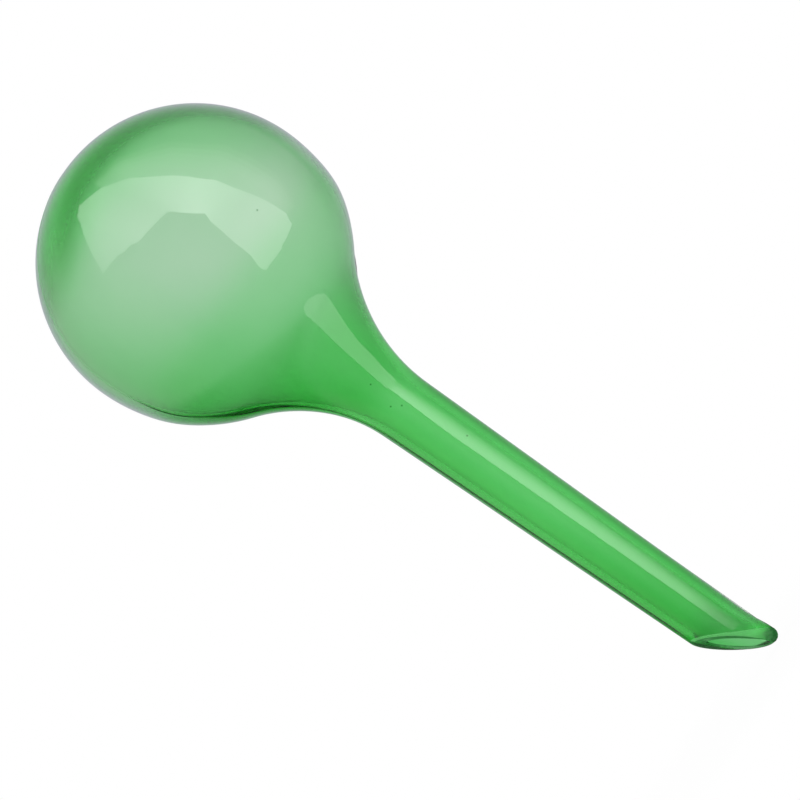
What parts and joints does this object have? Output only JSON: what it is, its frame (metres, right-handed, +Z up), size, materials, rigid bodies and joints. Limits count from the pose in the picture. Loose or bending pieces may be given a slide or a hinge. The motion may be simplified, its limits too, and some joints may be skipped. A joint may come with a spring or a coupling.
{
  "type": "watering globe",
  "caption": "Hollow translucent globe on a flared neck and tapered open stem, filled with water and pushed into soil to feed a plant slowly.",
  "frame": {"origin": "on the vessel's axis, level with the lowest point of the stem", "axes": "+Z up the axis from the stem to the globe, as it stands in soil; +X towards the point of the slanted mouth; the seam lies in the plane y = 0, with the front half on the -Y side"},
  "size_m": [0.0684, 0.068, 0.1822],
  "materials": {
    "shell_plastic": "glossy translucent green",
    "weld_plastic": "glossy translucent green, thicker"
  },
  "bodies": {
    "root": {"front_half_shell": "shell_plastic", "rear_half_shell": "shell_plastic", "seam_weld": "weld_plastic"}
  },
  "joints": []
}
